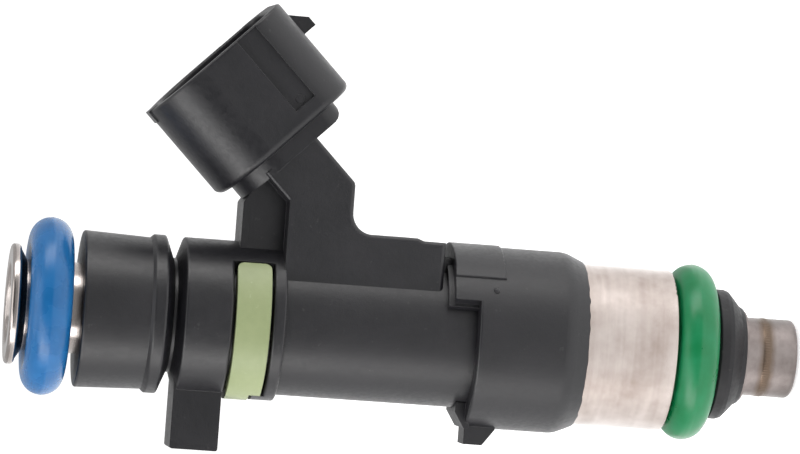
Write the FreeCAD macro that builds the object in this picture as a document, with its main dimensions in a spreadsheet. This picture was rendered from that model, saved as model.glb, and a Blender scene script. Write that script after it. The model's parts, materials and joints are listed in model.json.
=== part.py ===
import FreeCAD, Part
import math
import os
import re
import Sketcher

# Top-feed fuel injector.  Millimetres.  The injector's axis is Z, the nozzle tip's end face
# is z = 0, the fuel inlet is at the top, and the electrical connector leans out over +X.

doc = FreeCAD.newDocument("fuel_injector")
sheet = doc.addObject("Spreadsheet::Sheet", "dims")

DIMENSIONS = {
    # steel inlet tube and its rolled flange
    "inlet_level": 65.45,
    "inlet_flange_radius": 4.95,
    "inlet_flange_thickness": 0.8,
    "seal_seat_radius": 3.75,
    "core_radius": 3.02,
    # both O-rings are the same standard size
    "seal_inner_radius": 3.76,
    "seal_cord_radius": 1.78,
    "upper_seal_level": 62.25,
    "lower_seal_level": 8.9,
    # overmoulded housing, from its head down to the shroud
    "head_level": 59.65,
    "head_radius": 6.45,
    "waist_radius": 6.24,
    "lip_top": 53.85,
    "lip_foot": 52.9,
    "lip_radius": 6.52,
    "clip_groove_head": 52.18,
    "clip_groove_foot": 51.92,
    "clip_groove_radius": 4.7,
    "collar_top": 51.35,
    "collar_radius": 6.47,
    "ring_slot_top": 47.5,
    "ring_slot_foot": 44.2,
    "ring_slot_radius": 5.25,
    "ring_slot_opening": 41.0,
    "flange_foot": 43.15,
    "body_radius": 5.95,
    "housing_foot": 25.9,
    "soft_edge": 0.2,
    # gap between pieces that are pushed or moulded together
    "fit_gap": 0.03,
    # colour ring in its slot
    "ring_radius": 6.56,
    "ring_gap": 0.25,
    "ring_opening": 39.0,
    "ring_key_level": 45.25,
    "ring_key_angle": 40.0,
    # anti-rotation tab under the collar
    "tab_reach": 10.83,
    "tab_top": 51.55,
    "tab_foot": 47.6,
    "tab_width": 5.0,
    # flat-sided rib and leaning neck
    "rib_width": 9.5,
    "rib_foot": 30.3,
    "rib_low": 7.57,
    "rib_high": 7.79,
    "rib_step": 32.65,
    "rib_root": 2.0,
    "tongue_width": 6.2,
    "tongue_reach": 6.3,
    "neck_near": 43.4,
    "neck_far": 38.1,
    "neck_fillet": 1.7,
    "web_edge": 46.95,
    "web_width": 5.0,
    # connector, in its own axes: reach along the plug's travel, side across it
    "lean_angle": 45.0,
    "neck_side_low": -23.65,
    "neck_side_high": -18.53,
    "collar_block_reach": 40.25,
    "collar_block_low": -26.05,
    "collar_block_high": -15.55,
    "collar_block_width": 9.8,
    "collar_block_low_round": 4.2,
    "collar_block_high_round": 1.6,
    "collar_block_back_round": 1.0,
    "barrel_back": 41.6,
    "barrel_mouth": 50.6,
    "barrel_low": -27.32,
    "barrel_high": -13.65,
    "barrel_width": 11.8,
    "barrel_wall": 1.25,
    "barrel_floor": 1.1,
    "barrel_low_round": 5.2,
    "barrel_high_round": 2.9,
    "barrel_back_round": 0.55,
    "band_low": -18.55,
    "band_high": -16.55,
    "band_depth": 0.35,
    "band_end": 43.05,
    "latch_width": 3.4,
    "latch_height": 1.35,
    "latch_top": 49.4,
    "latch_ramp": 48.0,
    "latch_foot": 47.15,
    "key_width": 2.8,
    "key_depth": 1.1,
    "key_height": 0.85,
    # terminals
    "blade_width": 1.2,
    "blade_thickness": 0.64,
    "blade_pitch": 5.0,
    "blade_inner": 3.95,
    "blade_foot": 25.2,
    "blade_turn": 39.4,
    "blade_side": -20.4,
    "blade_tip": 48.15,
    # lower shroud over the coil
    "shroud_foot": 18.25,
    "shroud_chamfer": 19.75,
    "shroud_foot_radius": 6.86,
    "shroud_radius": 7.52,
    "shroud_round": 2.2,
    "shroud_bore_radius": 6.7,
    "shroud_shoulder": 25.7,
    "shroud_top": 27.4,
    "pad_foot": 25.25,
    "pad_top": 29.45,
    "pad_radius": 7.67,
    "pad_angle": 98.0,
    "pad_edge": 0.1,
    "wing_angle": 131.0,
    "lip_ring_radius": 6.62,
    "lip_ring_top": 29.9,
    "lip_ring_angle": 136.0,
    "stop_top": 28.25,
    "stop_width": 5.2,
    "nub_reach": 8.87,
    "nub_top": 27.25,
    "nub_foot": 24.7,
    "nub_width": 3.2,
    # coil and its magnetic circuit
    "can_foot": 10.72,
    "can_top": 25.5,
    "can_radius": 6.67,
    "can_wall": 0.72,
    "can_floor": 0.95,
    "washer_foot": 25.15,
    "sleeve_radius": 3.38,
    "sleeve_foot": 11.1,
    "bobbin_foot": 12.25,
    "bobbin_top": 25.1,
    "bobbin_radius": 5.88,
    "bobbin_hub_radius": 3.85,
    "bobbin_flange": 0.9,
    "winding_radius": 5.62,
    # nozzle
    "tip_radius": 3.25,
    "tip_round": 0.45,
    "tip_top": 4.25,
    "nozzle_top": 12.2,
    "spray_bore_radius": 1.6,
    "seat_level": 1.15,
    "seat_height": 1.95,
    "seat_bore_radius": 2.3,
    "orifice_radius": 0.5,
    "retainer_foot": 4.45,
    "retainer_top": 7.05,
    "retainer_radius": 5.4,
    # ball guide, metering holes and the needle's cross hole
    "guide_slot_count": 5.0,
    "guide_slot_width": 0.6,
    "guide_height": 1.1,
    "metering_hole_count": 4.0,
    "metering_hole_radius": 0.1,
    "cross_hole_radius": 0.3,
    # valve
    "ball_radius": 1.3,
    "needle_radius": 0.95,
    "needle_bore_radius": 0.6,
    "armature_foot": 12.4,
    "armature_top": 16.9,
    "armature_radius": 2.96,
    "valve_lift": 0.1,
    "core_top": 32.5,
    "core_bore_radius": 1.62,
    "spring_radius": 1.28,
    "spring_wire_radius": 0.17,
    "spring_pitch": 0.95,
    "spring_foot": 13.5,
    "adjuster_bore_radius": 1.05,
    "adjuster_slit": 0.4,
    "adjuster_foot": 24.5,
    "adjuster_top": 31.0,
    # inlet filter
    "filter_ring_top": 64.1,
    "filter_ring_foot": 61.9,
    "filter_foot": 52.5,
    "filter_ring_bore": 2.5,
    "cage_bore": 2.0,
    "cage_rib_inner": 1.62,
    "cage_rib_outer": 2.1,
    "cage_rib_width": 0.5,
    "mesh_radius": 1.6,
    "mesh_thickness": 0.1,
    "filter_rib_count": 4.0,
}


def fill_sheet():
    """One row for each driving dimension: its name, its value and its alias."""
    for row, (alias, size) in enumerate(DIMENSIONS.items(), start=1):
        sheet.set(f"A{row}", alias)
        sheet.set(f"B{row}", str(size))
        sheet.setAlias(f"B{row}", alias)
    doc.recompute()


def value(formula):
    """The number that a formula of sheet aliases gives."""
    return float(sheet.evalExpression(str(formula)))


def bound(formula):
    """The same formula as another object of the document has to write it."""
    return re.sub(r"[a-z_]+", lambda word: f"dims.{word[0]}" if word[0] in DIMENSIONS else word[0],
                  str(formula))


def x_of(side, reach):
    """X of a place given in the connector's own axes."""
    return f"(({reach}) * sin(lean_angle) + ({side}) * cos(lean_angle))"


def z_of(side, reach):
    """Z of a place given in the connector's own axes."""
    return f"(({reach}) * cos(lean_angle) - ({side}) * sin(lean_angle))"


# ---------------------------------------------------------------- sketches and features

def new_body(label):
    body = doc.addObject("PartDesign::Body", label)
    body.Label = label
    return body


def attach(body, sketch, role, offset=None):
    """Put a sketch on one of its body's origin planes, shifted by three formulas."""
    plane = [feature for feature in body.Origin.OriginFeatures if feature.Role == role]
    sketch.AttachmentSupport = [(plane[0], "")]
    sketch.MapMode = "FlatFace"
    for axis, formula in zip("xyz", offset or ()):
        sketch.setExpression(f"AttachmentOffset.Base.{axis}", bound(formula))


def lean(sketch, axis, sign):
    """Turn a sketch into the connector's axes, about one of its own axes."""
    placement = FreeCAD.Placement(sketch.AttachmentOffset)
    placement.Rotation = FreeCAD.Rotation(FreeCAD.Vector(*axis), sign * value("lean_angle"))
    sketch.AttachmentOffset = placement


def draw_outline(sketch, points):
    """A closed straight-sided outline with every corner bound to the sheet."""
    corners = [FreeCAD.Vector(value(across), value(along), 0) for across, along in points]
    count = len(corners)
    for index in range(count):
        sketch.addGeometry(Part.LineSegment(corners[index], corners[(index + 1) % count]))
    for index in range(count):
        sketch.addConstraint(Sketcher.Constraint("Coincident", index, 2, (index + 1) % count, 1))
    for index, (across, along) in enumerate(points):
        sketch.addConstraint(Sketcher.Constraint("DistanceX", index, 1, corners[index].x))
        sketch.setExpression(f"Constraints[{sketch.ConstraintCount - 1}]", bound(across))
        sketch.addConstraint(Sketcher.Constraint("DistanceY", index, 1, corners[index].y))
        sketch.setExpression(f"Constraints[{sketch.ConstraintCount - 1}]", bound(along))


def draw_rounded_box(sketch, low, high, half, low_round, high_round):
    """A box about the sketch's first axis, with one corner radius at each of its two ends."""
    corners = [(low, low_round, 1, 1), (high, high_round, -1, 1),
               (high, high_round, -1, -1), (low, low_round, 1, -1)]
    ends = []
    for index, (edge, radius, inward, upward) in enumerate(corners):
        on_side = (f"{edge}", f"{-upward} * ({half} - {radius})")
        on_end = (f"{edge} + {inward} * {radius}", f"{-upward} * ({half})")
        ends.append((on_side, on_end) if index % 2 == 0 else (on_end, on_side))
        centre = FreeCAD.Vector(value(on_end[0]), value(on_side[1]), 0)
        circle = Part.Circle(centre, FreeCAD.Vector(0, 0, 1), value(radius))
        start = math.pi * (1 + index / 2)
        sketch.addGeometry(Part.ArcOfCircle(circle, start, start + math.pi / 2))
        sketch.addConstraint(Sketcher.Constraint("Radius", index, value(radius)))
        sketch.setExpression(f"Constraints[{sketch.ConstraintCount - 1}]", bound(radius))
    for index in range(4):
        line = [ends[index][1], ends[(index + 1) % 4][0]]
        points = [FreeCAD.Vector(value(across), value(along), 0) for across, along in line]
        number = sketch.addGeometry(Part.LineSegment(*points))
        sketch.addConstraint(Sketcher.Constraint("Coincident", index, 2, number, 1))
        sketch.addConstraint(Sketcher.Constraint("Coincident", number, 2, (index + 1) % 4, 1))
        for end, (across, along) in enumerate(line, start=1):
            for kind, formula in (("DistanceX", across), ("DistanceY", along)):
                sketch.addConstraint(Sketcher.Constraint(kind, number, end, value(formula)))
                sketch.setExpression(f"Constraints[{sketch.ConstraintCount - 1}]", bound(formula))


def draw_circle(sketch, across, along, radius):
    """One circle bound to the sheet."""
    centre = FreeCAD.Vector(value(across), value(along), 0)
    index = sketch.addGeometry(Part.Circle(centre, FreeCAD.Vector(0, 0, 1), value(radius)))
    for kind, formula, start in (("DistanceX", across, centre.x), ("DistanceY", along, centre.y)):
        sketch.addConstraint(Sketcher.Constraint(kind, index, 3, start))
        sketch.setExpression(f"Constraints[{sketch.ConstraintCount - 1}]", bound(formula))
    sketch.addConstraint(Sketcher.Constraint("Radius", index, value(radius)))
    sketch.setExpression(f"Constraints[{sketch.ConstraintCount - 1}]", bound(radius))


def outline(body, name, role, points, offset=None):
    sketch = body.newObject("Sketcher::SketchObject", name)
    attach(body, sketch, role, offset)
    draw_outline(sketch, points)
    return sketch


def section_sketch(body, name, reach):
    """An empty sketch across the connector's travel: side against Y, at a reach."""
    sketch = body.newObject("Sketcher::SketchObject", name)
    attach(body, sketch, "XY_Plane",
           (f"({reach}) * sin(lean_angle)", "0", f"({reach}) * cos(lean_angle)"))
    lean(sketch, (0, 1, 0), 1)
    return sketch


def side_outline(body, name, points):
    """An outline along the connector's travel, in the plane of symmetry: side against reach."""
    sketch = outline(body, name, "XZ_Plane", points)
    lean(sketch, (0, 0, 1), -1)
    return sketch


def revolved(body, name, points, angle="360", kind="Revolution"):
    """Turn an outline of radius against level about Z, half of the angle to each side."""
    sketch = outline(body, name + "_outline", "XZ_Plane", points)
    feature = body.newObject(f"PartDesign::{kind}", name)
    feature.Profile = sketch
    feature.ReferenceAxis = (sketch, ["V_Axis"])
    feature.Midplane = True
    feature.setExpression("Angle", bound(angle))
    doc.recompute()
    return feature


def thickened(body, name, sketch, length, kind="Pad", symmetric=True, reverse=False):
    """Pad or pocket a sketch by a length, half to each side where symmetric."""
    feature = body.newObject(f"PartDesign::{kind}", name)
    feature.Profile = sketch
    feature.SideType = "Symmetric" if symmetric else "One side"
    feature.Reversed = reverse
    feature.setExpression("Length", bound(length))
    doc.recompute()
    return feature


def bored(body, name, radius, top, foot):
    """Cut a round hole about Z, from one level down to another."""
    sketch = body.newObject("Sketcher::SketchObject", name + "_outline")
    attach(body, sketch, "XY_Plane", ("0", "0", top))
    draw_circle(sketch, "0", "0", radius)
    return thickened(body, name, sketch, f"{top} - ({foot})", "Pocket", False)


def box_points(across_low, across_high, along_low, along_high):
    return [(across_low, along_low), (across_high, along_low),
            (across_high, along_high), (across_low, along_high)]


def rounded(body, name, radius, test):
    """Fillet every edge of the body's tip that passes the test."""
    tip = body.Tip
    names = [f"Edge{index}" for index, edge in enumerate(tip.Shape.Edges, start=1) if test(edge)]
    feature = body.newObject("PartDesign::Fillet", name)
    feature.Base = (tip, names)
    feature.setExpression("Radius", bound(radius))
    doc.recompute()
    return feature


def near(first, second, tolerance=0.02):
    return abs(first - second) < tolerance


def circles_at(*rings):
    """A test for whole or part circles about Z, each given as radius and level."""
    wanted = [(value(radius), value(level)) for radius, level in rings]

    def test(edge):
        points = [vertex.Point for vertex in edge.Vertexes]
        if not isinstance(edge.Curve, Part.Circle):
            return False
        return any(all(near(math.hypot(point.x, point.y), radius) and near(point.z, level)
                       for point in points) for radius, level in wanted)
    return test


def across_edges_at(*places):
    """A test for edges parallel to Y, each given as X and Z."""
    wanted = [(value(across), value(along)) for across, along in places]

    def test(edge):
        points = [vertex.Point for vertex in edge.Vertexes]
        if len(points) != 2 or near(points[0].y, points[1].y):
            return False
        return any(all(near(point.x, across) and near(point.z, along) for point in points)
                   for across, along in wanted)
    return test


def connector_axes(point):
    """Side, Y and reach of a point."""
    turn = math.radians(value("lean_angle"))
    side = point.x * math.cos(turn) - point.z * math.sin(turn)
    reach = point.x * math.sin(turn) + point.z * math.cos(turn)
    return side, point.y, reach


# ---------------------------------------------------------------- overmoulded housing

def blade_outline():
    """Outline of one terminal: up beside the core, over into the neck, and out into the socket."""
    low = "blade_side + blade_width / 2"
    high = "blade_side - blade_width / 2"
    outer = "blade_inner + blade_width"
    over = "blade_turn + blade_width"
    slope = "sqrt(2)"
    return [
        ("blade_inner", "blade_foot"),
        (outer, "blade_foot"),
        (outer, "blade_turn"),
        (f"blade_turn + ({low}) * {slope}", "blade_turn"),
        (x_of(low, "blade_tip"), z_of(low, "blade_tip")),
        (x_of(high, "blade_tip"), z_of(high, "blade_tip")),
        (f"{over} + ({high}) * {slope}", over),
        ("blade_inner", over),
    ]


def housing_turned_part(body):
    """Everything of the housing that is round about the injector's axis."""
    revolved(body, "housing_core", [
        ("seal_seat_radius", "housing_foot"),
        ("body_radius", "housing_foot"),
        ("body_radius", "flange_foot"),
        ("collar_radius", "flange_foot"),
        ("collar_radius", "ring_slot_foot"),
        ("ring_slot_radius", "ring_slot_foot"),
        ("ring_slot_radius", "ring_slot_top"),
        ("collar_radius", "ring_slot_top"),
        ("collar_radius", "collar_top"),
        ("clip_groove_radius", "clip_groove_foot"),
        ("clip_groove_radius", "clip_groove_head"),
        ("lip_radius", "lip_foot"),
        ("lip_radius", "lip_top"),
        ("waist_radius", "lip_top + 0.3"),
        ("head_radius", "head_level"),
        ("seal_seat_radius", "head_level"),
    ])
    rounded(body, "housing_soft_edges", "soft_edge", circles_at(
        ("collar_radius", "flange_foot"), ("collar_radius", "ring_slot_foot"),
        ("collar_radius", "ring_slot_top"), ("collar_radius", "collar_top"),
        ("lip_radius", "lip_foot"), ("lip_radius", "lip_top"), ("head_radius", "head_level")))
    revolved(body, "ring_bridge",
             box_points("ring_slot_radius - 0.3", "collar_radius",
                        "ring_slot_foot - 0.25", "ring_slot_top + 0.25"),
             "2 * ring_slot_opening")
    revolved(body, "ring_key",
             box_points("-collar_radius", "0.3 - ring_slot_radius",
                        "ring_slot_foot - 0.25", "ring_key_level - 0.15"),
             "ring_key_angle")


def housing_tab(body):
    tab = outline(body, "tab_outline", "XZ_Plane",
                  box_points("-tab_reach", "-seal_seat_radius - 0.4", "tab_foot", "tab_top"))
    thickened(body, "tab", tab, "tab_width")
    rounded(body, "tab_corners", "soft_edge", across_edges_at(
        ("-tab_reach", "tab_foot"), ("-tab_reach", "tab_top")))


def neck_face_edge(edge):
    """An edge round the neck's two flat sides, away from the round body and the neck's top."""
    points = [vertex.Point for vertex in edge.Vertexes] + [edge.CenterOfMass]
    if not all(near(abs(point.y), value("rib_width") / 2) for point in points):
        return False
    if all(near(point.z, value("rib_foot")) for point in points):
        return True
    reaches = [connector_axes(point)[2] for point in points]
    clear_of_body = all(point.x > value("rib_low") - 0.02 for point in points)
    on_top = all(near(reach, reaches[0]) for reach in reaches)
    on_near_side = all(near(point.z, value("neck_near")) for point in points)
    return clear_of_body and not on_top and not on_near_side


def housing_neck(body):
    """The rib along the body, the neck that leans out of it, its web, and the tongue below.

    They start at the axis side of the round wall, so the bore is cut through their roots last.
    """
    knee = "neck_far + neck_side_high * sqrt(2)"
    shoulder = "neck_near + neck_side_low * sqrt(2)"
    top = "collar_block_reach + 0.5"
    neck = outline(body, "neck_outline", "XZ_Plane", [
        ("rib_root", "rib_foot"),
        ("rib_low", "rib_foot"),
        ("rib_low", "rib_step - 0.6"),
        ("rib_high", "rib_step"),
        ("rib_high", "neck_far"),
        (knee, "neck_far"),
        (x_of("neck_side_high", top), z_of("neck_side_high", top)),
        (x_of("neck_side_low", top), z_of("neck_side_low", top)),
        (shoulder, "neck_near"),
        ("rib_root", "neck_near"),
    ])
    thickened(body, "neck", neck, "rib_width")
    rounded(body, "neck_hollow", "neck_fillet", across_edges_at(("rib_high", "neck_far")))
    rounded(body, "neck_knee", "0.6", across_edges_at((knee, "neck_far")))
    rounded(body, "neck_face_edges", "0.35", neck_face_edge)
    web_low = "neck_side_low - 2.7"
    web = outline(body, "web_outline", "XZ_Plane", [
        ("seal_seat_radius + 0.5", "neck_near - 0.6"),
        (f"{shoulder} + 0.3", "neck_near - 0.6"),
        (x_of("neck_side_low + 0.5", top), z_of("neck_side_low + 0.5", top)),
        (f"web_edge + ({web_low}) * sqrt(2)", "web_edge"),
        ("seal_seat_radius + 0.5", "web_edge"),
    ])
    thickened(body, "web", web, "web_width")
    tongue = outline(body, "tongue_outline", "XZ_Plane",
                     box_points("seal_seat_radius + 0.3", "tongue_reach",
                                "housing_foot", "rib_foot + 0.5"))
    thickened(body, "tongue", tongue, "tongue_width")
    bored(body, "housing_bore", "seal_seat_radius", "head_level + 1", "housing_foot - 1")


def corner_waste(side, reach, radius):
    """What is cut away to leave a quarter round at a corner of the block, in four steps."""
    steps = 4
    turns = [90 * step / steps for step in range(steps + 1)]
    arc = [(f"{side} - {radius} + {radius} * sin({turn})", f"{reach} + {radius} - {radius} * cos({turn})")
           for turn in turns]
    return arc + [(f"{side} + 0.5", f"{reach} + {radius}"), (f"{side} + 0.5", f"{reach} - 0.5"),
                  (f"{side} - {radius}", f"{reach} - 0.5")]


def barrel_back_edge(edge):
    """An edge round the barrel's back face."""
    places = [connector_axes(vertex.Point) for vertex in edge.Vertexes]
    places.append(connector_axes(edge.CenterOfMass))
    on_back = all(near(place[2], value("barrel_back")) for place in places)
    outside = all(abs(place[1]) > value("collar_block_width") / 2 + 0.02
                  or place[0] > value("collar_block_high") + 0.02
                  or place[0] < value("collar_block_low") - 0.02 for place in places)
    return on_back and outside


def barrel_mouth_edge(edge):
    """An edge round the barrel's mouth, inside or outside."""
    places = [connector_axes(vertex.Point) for vertex in edge.Vertexes]
    places.append(connector_axes(edge.CenterOfMass))
    return all(near(place[2], value("barrel_mouth")) for place in places)


def housing_connector(body):
    """Barrel with its side bands, socket, latch ramp and key, on a narrower block."""
    block = section_sketch(body, "connector_block_outline", "collar_block_reach")
    draw_rounded_box(block, "collar_block_low", "collar_block_high", "collar_block_width / 2",
                     "collar_block_low_round", "collar_block_high_round")
    thickened(body, "connector_block", block, "barrel_back - collar_block_reach + 0.4", "Pad", False)
    waste = side_outline(body, "block_corner_outline", corner_waste(
        "collar_block_high", "collar_block_reach", "collar_block_back_round"))
    thickened(body, "block_corner", waste, "collar_block_width + 1", "Pocket")
    barrel = section_sketch(body, "barrel_outline", "barrel_back")
    draw_rounded_box(barrel, "barrel_low", "barrel_high", "barrel_width / 2",
                     "barrel_low_round", "barrel_high_round")
    thickened(body, "barrel", barrel, "barrel_mouth - barrel_back", "Pad", False)
    rounded(body, "barrel_back_corner", "barrel_back_round", barrel_back_edge)
    for side, name in ((1, "far"), (-1, "near")):
        band = section_sketch(body, name + "_band_outline", "barrel_mouth")
        draw_outline(band, box_points(
            "band_low", "band_high",
            f"{side} * (barrel_width / 2 - band_depth)", f"{side} * (barrel_width / 2 + 0.5)"))
        thickened(body, name + "_band", band, "barrel_mouth - band_end", "Pocket", False)
    socket = section_sketch(body, "socket_outline", "barrel_mouth")
    draw_rounded_box(socket, "(barrel_low + barrel_wall)", "(barrel_high - barrel_wall)",
                     "(barrel_width / 2 - barrel_wall)", "(barrel_low_round - barrel_wall)",
                     "(barrel_high_round - barrel_wall)")
    thickened(body, "socket", socket, "barrel_mouth - barrel_back - barrel_floor", "Pocket", False)
    rounded(body, "mouth_rim", "0.22", barrel_mouth_edge)
    latch = side_outline(body, "latch_outline", [
        ("barrel_high - 0.6", "latch_foot"),
        ("barrel_high + latch_height", "latch_foot"),
        ("barrel_high + latch_height", "latch_ramp"),
        ("barrel_high - 0.02", "latch_top"),
        ("barrel_high - 0.6", "latch_top"),
    ])
    thickened(body, "latch", latch, "latch_width")
    key = side_outline(body, "key_outline", box_points(
        "barrel_low - 0.08", "barrel_low + key_height", "barrel_mouth - key_depth", "barrel_mouth + 0.05"))
    thickened(body, "key", key, "key_width")


def housing_terminal_slots(body):
    """Each terminal is moulded in, so it leaves a slot of its own shape."""
    for sign, name in ((1, "near"), (-1, "far")):
        slot = outline(body, name + "_terminal_slot_outline", "XZ_Plane", blade_outline(),
                       ("0", "0", f"{sign} * blade_pitch / 2"))
        thickened(body, name + "_terminal_slot", slot, "blade_thickness", "Pocket")


def make_upper_housing():
    body = new_body("upper_housing")
    housing_turned_part(body)
    housing_tab(body)
    housing_neck(body)
    housing_connector(body)
    housing_terminal_slots(body)
    return body


# ---------------------------------------------------------------- shroud over the coil

def make_lower_shroud():
    """Cap over the coil: a pad that hugs the rib, a stop and a nub opposite it."""
    body = new_body("lower_shroud")
    revolved(body, "shroud_wall", [
        ("shroud_bore_radius", "shroud_foot"),
        ("shroud_foot_radius", "shroud_foot"),
        ("shroud_radius", "shroud_chamfer"),
        ("shroud_radius", "shroud_top"),
        ("body_radius + fit_gap", "shroud_top"),
        ("body_radius + fit_gap", "shroud_shoulder"),
        ("shroud_bore_radius", "shroud_shoulder"),
    ])
    rounded(body, "shroud_soft_edge", "soft_edge", circles_at(("shroud_radius", "shroud_top")))
    rounded(body, "shroud_foot_round", "shroud_round", circles_at(("shroud_radius", "shroud_chamfer")))
    inner = "body_radius + fit_gap"
    revolved(body, "lip_ring", box_points(inner, "lip_ring_radius", "shroud_shoulder", "lip_ring_top"),
             "lip_ring_angle")
    revolved(body, "wings", [
        ("shroud_bore_radius", "pad_foot"),
        ("shroud_radius", "pad_foot"),
        ("shroud_radius", "pad_top"),
        (inner, "pad_top"),
        (inner, "shroud_shoulder"),
        ("shroud_bore_radius", "shroud_shoulder"),
    ], "wing_angle")
    revolved(body, "pad", box_points("shroud_bore_radius", "pad_radius", "pad_foot", "pad_top"),
             "pad_angle")
    rounded(body, "pad_edges", "pad_edge", pad_top_edge)
    stop_root = "1 - body_radius"
    stop = outline(body, "stop_outline", "XZ_Plane", [
        ("-shroud_radius", "shroud_top - 0.4"),
        ("-shroud_radius", "stop_top - 0.8"),
        ("-body_radius - 0.3", "stop_top"),
        (stop_root, "stop_top"),
        (stop_root, "shroud_top - 0.4"),
    ])
    thickened(body, "stop", stop, "stop_width")
    nub = outline(body, "nub_outline", "XZ_Plane", [
        ("-shroud_bore_radius - 0.3", "nub_foot"),
        ("-shroud_radius", "nub_foot"),
        ("-nub_reach", "nub_foot + 1"),
        ("-nub_reach", "nub_top"),
        ("-shroud_bore_radius - 0.3", "nub_top"),
    ])
    thickened(body, "nub", nub, "nub_width")
    bored(body, "shroud_mouth", inner, "lip_ring_top + 1", "shroud_shoulder")
    slot_reach = "tongue_reach + 0.05"
    tongue = outline(body, "tongue_slot_outline", "XZ_Plane", [
        ("body_radius - 1.5", "shroud_shoulder - 0.3"),
        (slot_reach, "shroud_shoulder - 0.3"),
        (slot_reach, "pad_top"),
        ("lip_ring_radius + 0.1", "pad_top"),
        ("lip_ring_radius + 0.1", "lip_ring_top + 0.5"),
        ("body_radius - 1.5", "lip_ring_top + 0.5"),
    ])
    thickened(body, "tongue_slot", tongue, "tongue_width + 0.1", "Pocket")
    return body


def pad_top_edge(edge):
    """An edge between the pad's outer face and its sides or ends."""
    points = [vertex.Point for vertex in edge.Vertexes]
    return all(near(math.hypot(point.x, point.y), value("pad_radius")) for point in points)


# ---------------------------------------------------------------- rings and seals

def make_colour_ring():
    """Open ring that snaps into the slot, narrowed where the housing's key meets it."""
    body = new_body("colour_ring")
    low = "ring_slot_foot + ring_gap"
    high = "ring_slot_top - ring_gap"
    revolved(body, "ring_band", box_points("-ring_radius", "-ring_slot_radius - 0.05", low, high),
             "360 - 2 * (ring_opening + 4)")
    rounded(body, "ring_ends", "0.6", radial_edge)
    notch = outline(body, "ring_notch_outline", "XZ_Plane",
                    box_points("-ring_radius - 1", "-1", "ring_slot_foot - 1", "ring_key_level + 0.1"))
    thickened(body, "ring_notch", notch, "2 * ring_radius * sin(ring_key_angle / 2) + 0.5", "Pocket")
    return body


def radial_edge(edge):
    """A short straight edge that points at the axis: a corner of the ring's open ends."""
    if len(edge.Vertexes) != 2 or not isinstance(edge.Curve, Part.Line):
        return False
    start, end = (vertex.Point for vertex in edge.Vertexes)
    return near(start.z, end.z) and edge.Length > 0.5


def make_seal(label, level):
    seal = doc.addObject("Part::Torus", label)
    seal.Label = label
    seal.setExpression("Radius1", bound("seal_inner_radius + seal_cord_radius"))
    seal.setExpression("Radius2", bound("seal_cord_radius"))
    seal.setExpression("Placement.Base.z", bound(level))
    return seal


def make_seal_retainer():
    """Plastic ring under the lower O-ring, coned down to the nozzle tip."""
    body = new_body("lower_seal_retainer")
    bore = "seal_seat_radius + fit_gap"
    revolved(body, "retainer_ring", [
        (bore, "retainer_foot"),
        ("seal_seat_radius + 0.2", "retainer_foot"),
        ("retainer_radius - 1.2", "retainer_foot + 0.4"),
        ("retainer_radius - 0.55", "retainer_foot + 0.95"),
        ("retainer_radius - 0.12", "retainer_foot + 1.35"),
        ("retainer_radius", "retainer_foot + 1.7"),
        ("retainer_radius", "retainer_top - 0.2"),
        ("retainer_radius - 0.2", "retainer_top"),
        (bore, "retainer_top"),
    ])
    return body


# ---------------------------------------------------------------- fuel path

def make_inlet_tube():
    """Deep-drawn tube with a rolled flange that keeps the upper O-ring on."""
    body = new_body("inlet_tube")
    revolved(body, "tube", [
        ("core_radius", "housing_foot"),
        ("seal_seat_radius", "housing_foot"),
        ("seal_seat_radius", "inlet_level - inlet_flange_thickness - 0.5"),
        ("inlet_flange_radius - 0.35", "inlet_level - inlet_flange_thickness"),
        ("inlet_flange_radius", "inlet_level - inlet_flange_thickness"),
        ("inlet_flange_radius", "inlet_level"),
        ("core_radius + 0.35", "inlet_level"),
        ("core_radius", "inlet_level - 0.6"),
    ])
    rounded(body, "flange_roll", "0.3", circles_at(
        ("inlet_flange_radius", "inlet_level"),
        ("inlet_flange_radius", "inlet_level - inlet_flange_thickness")))
    rounded(body, "mouth_roll", "0.3", circles_at(("core_radius + 0.35", "inlet_level")))
    return body


def make_filter():
    """Strainer in the inlet: a brass press ring, a ribbed plastic cage, and its mesh."""
    ring = new_body("filter_ring")
    revolved(ring, "press_ring", box_points("filter_ring_bore", "core_radius - 0.01",
                                            "filter_ring_foot", "filter_ring_top"))
    cage = new_body("filter_cage")
    revolved(cage, "cage_rim", box_points("cage_bore", "core_radius - 0.3",
                                          "filter_ring_foot - 1", "filter_ring_foot"))
    revolved(cage, "cage_foot", box_points("0", "cage_rib_outer", "filter_foot", "filter_foot + 0.7"))
    rib = outline(cage, "cage_rib_outline", "XY_Plane",
                  box_points("cage_rib_inner", "cage_rib_outer", "-cage_rib_width / 2", "cage_rib_width / 2"),
                  ("0", "0", "filter_foot + 0.5"))
    first = thickened(cage, "cage_rib", rib, "filter_ring_foot - 1 - filter_foot - 0.3", "Pad", False)
    ribs = cage.newObject("PartDesign::PolarPattern", "cage_ribs")
    ribs.Originals = [first]
    ribs.Axis = (rib, ["N_Axis"])
    ribs.Angle = 360
    ribs.setExpression("Occurrences", bound("filter_rib_count"))
    cage.Tip = ribs
    doc.recompute()
    mesh = new_body("filter_mesh")
    revolved(mesh, "mesh_tube", box_points("mesh_radius - mesh_thickness", "mesh_radius",
                                            "filter_foot + 0.7", "filter_ring_foot - 1"))
    return [ring, cage, mesh]


def make_pole_core():
    """Fixed core: it pulls the armature up, and the spring sits in its bore."""
    body = new_body("pole_core")
    foot = "armature_top + valve_lift"
    revolved(body, "core", [
        ("core_bore_radius", foot),
        ("core_radius - 0.25", foot),
        ("core_radius - 0.01", f"{foot} + 0.25"),
        ("core_radius - 0.01", "core_top - 0.4"),
        ("core_radius - 0.4", "core_top"),
        ("core_bore_radius", "core_top"),
    ])
    return body


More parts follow.
